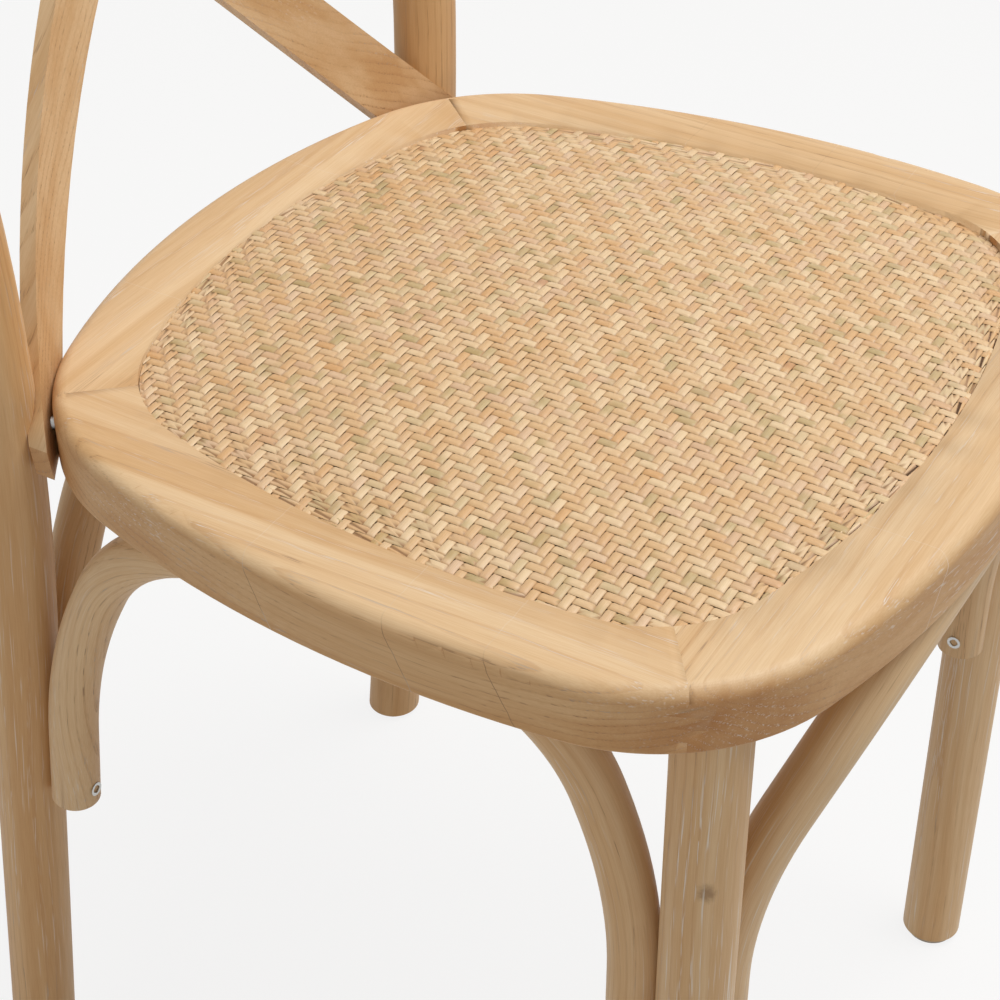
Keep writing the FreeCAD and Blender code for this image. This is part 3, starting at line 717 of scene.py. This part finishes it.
def add_strands(work, outline, weave, lengthwise):
    """All strands that run one way, each cut to the outline.

    Lengthwise is 0 for strands along x and 1 for those along y. Each vertex keeps its place
    on its strand, which float it lies on, and how high it rides in the weave.
    """
    place_layer = work.verts.layers.float_vector.new("strand")
    cell_layer = work.verts.layers.float_vector.new("float_cell")
    depth_layer = work.verts.layers.float.new("depth")
    crosswise = 1 - lengthwise
    middle = (0.0, sum(point[1] for point in outline) / len(outline))
    reach = max(abs(point[crosswise] - middle[crosswise]) for point in outline)
    count = math.ceil(reach / weave.pitch)
    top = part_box("rattan_mat")[1].z - weave.wave - weave.thickness * 0.1
    dice = random.Random(7 + lengthwise)
    rows = len(STRAND_SECTION) - 1
    for number in range(-count, count + 1):
        level = middle[crosswise] + number * weave.pitch
        span = chord(outline, crosswise, level)
        if span is None or span[1] - span[0] < 3 * weave.pitch:
            continue
        half = weave.width / 2 * dice.uniform(NARROWEST, 1.0)
        lean = dice.uniform(-STRAND_LEAN, STRAND_LEAN)
        steps = math.ceil((span[1] - span[0]) / weave.pitch) * weave.steps
        made = bmesh.ops.create_grid(work, x_segments=steps, y_segments=rows, size=1.0)
        for vert in made["verts"]:
            side, drop = STRAND_SECTION[round((vert.co.y + 1) / 2 * rows)]
            across = level + side * half
            ends = chord(outline, crosswise, across) or span
            along = ends[0] + (vert.co.x + 1) / 2 * (ends[1] - ends[0])
            place = (along - middle[lengthwise]) / weave.pitch
            phase = place - number if lengthwise == 0 else number - place
            lift = float_height(phase) * (1 - 2 * lengthwise)
            spot = Vector((along, across, 0.0))
            if lengthwise:
                spot = Vector((across, along, 0.0))
            away = spot.x ** 2 + (spot.y - middle[1]) ** 2
            spot.z = (top - away / (2 * weave.crown_radius) + lift * weave.wave
                      + (drop + lean * side) * weave.thickness)
            row = number * STRAND_STEP + lengthwise * DIRECTION_STEP
            vert[place_layer] = Vector((along, row, side))
            vert[cell_layer] = Vector((number, math.floor((phase + 0.5) / 2), lengthwise))
            vert[depth_layer] = lift
            vert.co = spot


def float_chance(tree):
    """A chance number for each stretch of strand that shows between two dives."""
    cell = vector_maths(tree, "ADD", attribute(tree, "float_cell"), (0.5, 0.5, 0.5))
    cell = vector_maths(tree, "FLOOR", cell)
    return add_node(tree, "ShaderNodeTexWhiteNoise", {"Vector": cell}).outputs["Value"]


def rattan_material(weave):
    """Peel in straw and cream with pinkish, orange and greenish stretches and small marks, with
    painted shade where a strand dives under its neighbour.
    """
    material, tree, shader = new_material("rattan_peel")
    strand = attribute(tree, "strand")
    depth = attribute(tree, "depth", "Fac")
    chance = float_chance(tree)
    slow = noise(tree, scaled(tree, strand, CREAM_STRETCHES))
    hue = noise(tree, scaled(tree, strand, HUE_STRETCHES), detail=3.0)
    rare = noise(tree, scaled(tree, strand, RARE_STRETCHES), detail=1.0)
    fibre = noise(tree, scaled(tree, strand, STRAND_FIBRES), detail=3.0)
    pale = maths(tree, "ADD", maths(tree, "MULTIPLY", slow, 0.6),
                 maths(tree, "MULTIPLY", chance, 0.4))
    odd = maths(tree, "MULTIPLY", ramp(tree, rare, 0.56, 0.66), ramp(tree, chance, 0.3, 0.5))
    colour = rgba(weave.straw)
    for share, tone, mode in (
            (ramp(tree, pale, 0.34, 0.68), weave.cream, "MIX"),
            (ramp(tree, hue, 0.50, 0.66, (0.0, 0.5)), weave.blush, "MIX"),
            (ramp(tree, hue, 0.30, 0.46, (0.5, 0.0)), weave.honey, "MIX"),
            (maths(tree, "MULTIPLY", odd, 0.6), weave.olive, "MIX"),
            (ramp(tree, chance, 0.92, 0.96, (0.0, 0.35)), weave.olive, "MIX"),
            (ramp(tree, chance, 0.05, 0.10, (0.3, 0.0)), weave.honey, "MIX"),
            (ramp(tree, rare, 0.20, 0.27, (0.6, 0.0)), weave.spot, "MIX"),
            (ramp(tree, fibre, 0.35, 0.7, (0.0, 0.16)), weave.spot, "MULTIPLY"),
            # Painted shade where a strand dives under its neighbour, stronger the lower it rides
            (ramp(tree, depth, -0.5, 0.75, (0.85, 0.0)), weave.shade, "MIX")):
        colour = mixed(tree, share, colour, rgba(tone), mode)
    tree.links.new(colour, shader.inputs["Base Color"])
    shader.inputs["Roughness"].default_value = 0.42
    shader.inputs["Specular IOR Level"].default_value = 0.4
    add_bump(tree, shader, fibre, 0.3, 0.1 * MM)
    return material


def shade_sheet_material():
    """A near black sheet under the strands: painted shade that shows through the weave's gaps."""
    material, tree, shader = new_material("mat_shade_sheet")
    speck = noise(tree, object_place(tree), scale=900.0)
    dark, light = SHADE_SHEET_COLOURS
    tree.links.new(mixed(tree, speck, rgba(dark), rgba(light)), shader.inputs["Base Color"])
    shader.inputs["Roughness"].default_value = 0.9
    return material


class CHAIR_OT_mat(bpy.types.Operator):
    """Weave the rattan mat of the seat, strand by strand"""
    bl_idname = "chair.mat"
    bl_label = "Woven mat"

    def execute(self, context):
        weave = context.scene.chair_weave
        outline = mat_outline()
        material = rattan_material(weave)
        for name, lengthwise in (("strands_across", 0), ("strands_lengthwise", 1)):
            work = bmesh.new()
            add_strands(work, outline, weave, lengthwise)
            bmesh.ops.recalc_face_normals(work, faces=work.faces)
            if sum(face.normal.z for face in work.faces) < 0:
                bmesh.ops.reverse_faces(work, faces=work.faces)
            piece = new_piece(work, name)
            piece.data.shade_smooth()
            finish_piece(piece, "rattan_mat", material)
        # Painted shade: a lowered copy of the mat as a dark sheet under the strands
        shade_sheet = merged_copy("rattan_mat", "mat_shade_sheet")
        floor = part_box("rattan_mat")[0].z
        for vertex in shade_sheet.data.vertices:
            if vertex.co.z > floor + 0.1 * MM:
                vertex.co.z -= 2 * weave.wave + weave.thickness
        finish_piece(shade_sheet, "rattan_mat", shade_sheet_material())
        return {"FINISHED"}


# Seat panel, plugs, bolts and glides

def plain_material(name, colour, roughness, metallic=0.0):
    """One colour with a faint speckle, for nylon and steel."""
    material, tree, shader = new_material(name)
    speck = noise(tree, object_place(tree), scale=700.0, detail=3.0)
    darker = tuple(0.82 * part for part in colour)
    tree.links.new(mixed(tree, speck, rgba(darker), rgba(colour)), shader.inputs["Base Color"])
    rough = ramp(tree, speck, 0.3, 0.7, (roughness - 0.05, roughness + 0.05))
    tree.links.new(rough, shader.inputs["Roughness"])
    shader.inputs["Metallic"].default_value = metallic
    return material


class CHAIR_OT_small_parts(bpy.types.Operator):
    """Finish the seat panel, the bolts with their plugs and the glides"""
    bl_idname = "chair.small_parts"
    bl_label = "Panel, bolts and glides"

    def execute(self, context):
        wood = context.scene.chair_wood
        ply = wood_material("birch_ply", wood, 0.0, (0.4, 0.4))
        finish_wood("seat_panel_board", "seat_panel_ply", ply,
                    straight_grain((0, 1, 0), piece_offset(50)))
        plug_wood = wood_material("plug_ash", wood, 0.3, (0.01, 0.02))
        finish_wood("bolt_plugs", "bolt_plug_caps", plug_wood,
                    straight_grain((0, 0, 1), piece_offset(51)))
        nylon = plain_material("glide_nylon", NYLON_COLOUR, 0.5)
        steel = plain_material("zinc_steel", STEEL_COLOUR, 0.35, 1.0)
        for node, material in (("glide_front_left", nylon), ("glide_front_right", nylon),
                               ("glide_rear_left", nylon), ("glide_rear_right", nylon),
                               ("post_bolts", steel)):
            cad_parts[node].data.materials.clear()
            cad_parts[node].data.materials.append(material)
        return {"FINISHED"}


# Small wood screws

def add_screw(work, place, outward, radius):
    """A countersunk screw's head with a cross recess, its rim just proud of the wood.

    Its sizes are shares of the head's radius, and the recess has its corners every 30 degrees.
    """
    start = len(work.verts)
    made = bmesh.ops.create_cone(work, cap_ends=True, segments=12, radius1=0.5 * radius,
                                 radius2=radius, depth=0.4 * radius)
    faces = {face for vert in made["verts"] for face in vert.link_faces}
    cap = max(faces, key=lambda face: face.calc_center_median().z)
    bmesh.ops.inset_individual(work, faces=[cap], thickness=0.3 * radius)
    for corner in cap.verts:
        sector = math.floor(math.degrees(math.atan2(corner.co.y, corner.co.x)) / 30)
        between_arms = sector % 3 == 1
        reach = radius * (0.23 if between_arms else 0.62)
        angle = math.radians(30 * sector + 15)
        corner.co.x = reach * math.cos(angle)
        corner.co.y = reach * math.sin(angle)
    recess = bmesh.ops.extrude_discrete_faces(work, faces=[cap])["faces"][0]
    bmesh.ops.translate(work, verts=recess.verts, vec=(0.0, 0.0, -0.35 * radius))
    work.verts.ensure_lookup_table()
    turn = outward.to_track_quat("Z", "Y").to_matrix().to_4x4()
    bmesh.ops.transform(work, matrix=Matrix.Translation(place) @ turn, verts=work.verts[start:])


def first_touch(tree, start, sweep, way):
    """Where rays along way first meet the piece, started over the whole of a sweep."""
    starts = [start + sweep * (number / SWEEP_STEPS - 0.5) for number in range(SWEEP_STEPS + 1)]
    hits = [tree.ray_cast(spot, way)[0] for spot in starts]
    return min((hit for hit in hits if hit), key=lambda hit: hit.dot(way))


def screw_places():
    """Where the arches' screws sit and which way their heads look."""
    up = Vector((0.0, 0.0, 1.0))
    places = []
    for node in ARCH_SHAPES:
        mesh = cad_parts[node].data
        tree = BVHTree.FromPolygons([vertex.co for vertex in mesh.vertices],
                                    [face.vertices for face in mesh.polygons])
        low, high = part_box(node)
        middle = (low + high) / 2
        lengthwise = arch_route(node)[1]
        across = up.cross(lengthwise)
        sweep = across * abs((high - low).dot(across))
        foot = Vector((middle.x, middle.y, low.z + SCREW_FROM_FOOT))
        below = Vector((middle.x, middle.y, low.z))
        for way in (-lengthwise, lengthwise):
            crown = first_touch(tree, below + way * SCREW_FROM_MIDDLE, sweep, up)
            places.append((crown, -up))
            places.append((first_touch(tree, foot, sweep, way), -way))
    return places


class CHAIR_OT_screws(bpy.types.Operator):
    """Add the small screws that hold the arches to the seat ring and the legs"""
    bl_idname = "chair.screws"
    bl_label = "Small screws"

    def execute(self, context):
        work = bmesh.new()
        for place, outward in screw_places():
            add_screw(work, place, outward, SCREW_HEAD_RADIUS)
        bmesh.ops.recalc_face_normals(work, faces=work.faces)
        piece = new_piece(work, "arch_screws")
        piece.data.materials.append(plain_material("screw_steel", STEEL_COLOUR, 0.35, 1.0))
        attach(piece, BODY)
        return {"FINISHED"}


# Stage

def camera_axes(stage):
    """Columns right, up and back of the camera."""
    azimuth, elevation = stage.azimuth, stage.elevation
    back = Vector((math.sin(azimuth) * math.cos(elevation),
                   -math.cos(azimuth) * math.cos(elevation), math.sin(elevation)))
    level = Vector((math.cos(azimuth), math.sin(azimuth), 0.0))
    up = back.cross(level)
    right = level * math.cos(stage.roll) + up * math.sin(stage.roll)
    return Matrix((right, back.cross(right), back)).transposed()


def add_area(name, place, size, power):
    """A square area light that looks at the seat."""
    lamp = bpy.data.lights.new(name, "AREA")
    lamp.shape = "SQUARE"
    lamp.size = size
    lamp.energy = power
    holder = bpy.data.objects.new(name, lamp)
    holder.location = place
    away = Vector(place) - Vector(LIGHT_AIM)
    holder.rotation_euler = away.to_track_quat("Z", "Y").to_euler()
    bpy.context.scene.collection.objects.link(holder)


def seen_directly(tree):
    """1 for the camera's and the reflections' rays, 0 for those that carry light."""
    path = add_node(tree, "ShaderNodeLightPath")
    return maths(tree, "ADD", path.outputs["Is Camera Ray"], path.outputs["Is Glossy Ray"],
                 clamp=True)


def floor_material():
    """A pale matt floor that the camera sees as nearly white, with the shadows on it."""
    material, tree, shader = new_material("pale_floor")
    shader.inputs["Base Color"].default_value = rgba(FLOOR_COLOUR)
    shader.inputs["Roughness"].default_value = 0.9
    glow = add_node(tree, "ShaderNodeEmission", {"Color": rgba(WHITE), "Strength": 1.0})
    share = maths(tree, "MULTIPLY", seen_directly(tree), FLOOR_WHITE_SHARE)
    mix = add_node(tree, "ShaderNodeMixShader",
                   {0: share, 1: shader.outputs[0], 2: glow.outputs[0]})
    tree.links.new(mix.outputs[0], tree.nodes["Material Output"].inputs["Surface"])
    return material


def make_world(ambient):
    """White where it is seen, a warm dim light all round for the rest."""
    world = bpy.data.worlds.new("studio")
    world.use_nodes = True
    tree = world.node_tree
    dim = tree.nodes["Background"]
    dim.inputs["Color"].default_value = rgba(AMBIENT_COLOUR)
    dim.inputs["Strength"].default_value = ambient
    white = add_node(tree, "ShaderNodeBackground", {"Color": rgba(WHITE), "Strength": 1.0})
    mix = add_node(tree, "ShaderNodeMixShader",
                   {0: seen_directly(tree), 1: dim.outputs[0], 2: white.outputs[0]})
    tree.links.new(mix.outputs[0], tree.nodes["World Output"].inputs["Surface"])
    return world


class CHAIR_OT_stage(bpy.types.Operator):
    """Set up the pale floor, the soft lights and the camera"""
    bl_idname = "chair.stage"
    bl_label = "Stage"

    def execute(self, context):
        scene = context.scene
        stage = scene.chair_stage
        work = bmesh.new()
        bmesh.ops.create_grid(work, x_segments=1, y_segments=1, size=FLOOR_HALF_SIZE)
        floor = new_piece(work, "floor")
        floor.data.materials.append(floor_material())

        scene.world = make_world(stage.ambient)
        add_area("top_light", TOP_LIGHT_PLACE, TOP_LIGHT_SIZE, stage.top_light)
        add_area("side_fill", SIDE_FILL_PLACE, SIDE_FILL_SIZE,
                 SIDE_FILL_SHARE * stage.top_light)

        lens = bpy.data.cameras.new("camera")
        lens.sensor_width = 36.0
        lens.lens = stage.lens
        lens.clip_start = 10 * MM
        camera = bpy.data.objects.new("camera", lens)
        axes = camera_axes(stage)
        place = Vector(stage.target) + axes.col[2] * stage.distance
        camera.matrix_world = Matrix.Translation(place) @ axes.to_4x4()
        scene.collection.objects.link(camera)
        scene.camera = camera
        scene.view_settings.view_transform = "Standard"
        return {"FINISHED"}


class CHAIR_PT_panel(bpy.types.Panel):
    """All steps and settings of the chair in the sidebar"""
    bl_idname = "CHAIR_PT_panel"
    bl_label = "Cross Back Chair"
    bl_space_type = "VIEW_3D"
    bl_region_type = "UI"
    bl_category = "Chair"

    def draw(self, context):
        layout = self.layout
        for operator in OPERATORS:
            layout.operator(operator.bl_idname)
        for group in ("chair_wood", "chair_weave", "chair_stage"):
            settings = getattr(context.scene, group)
            for name in settings.bl_rna.properties.keys():
                if name not in ("rna_type", "name"):
                    layout.prop(settings, name)


OPERATORS = (CHAIR_OT_seat_rails, CHAIR_OT_legs, CHAIR_OT_hoop, CHAIR_OT_arches,
             CHAIR_OT_slats, CHAIR_OT_mat, CHAIR_OT_small_parts, CHAIR_OT_screws,
             CHAIR_OT_stage)
SETTINGS = {"chair_wood": WoodSettings, "chair_weave": WeaveSettings,
            "chair_stage": StageSettings}


def register():
    for cls in (*SETTINGS.values(), *OPERATORS, CHAIR_PT_panel):
        bpy.utils.register_class(cls)
    for name, group in SETTINGS.items():
        setattr(bpy.types.Scene, name, PointerProperty(type=group))


def unregister():
    for name in SETTINGS:
        delattr(bpy.types.Scene, name)
    for cls in reversed((*SETTINGS.values(), *OPERATORS, CHAIR_PT_panel)):
        bpy.utils.unregister_class(cls)


def main():
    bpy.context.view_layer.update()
    register()
    bpy.ops.chair.seat_rails()
    bpy.ops.chair.legs()
    bpy.ops.chair.hoop()
    bpy.ops.chair.arches()
    bpy.ops.chair.slats()
    bpy.ops.chair.mat()
    bpy.ops.chair.small_parts()
    bpy.ops.chair.screws()
    bpy.ops.chair.stage()


if __name__ == "__main__":
    main()
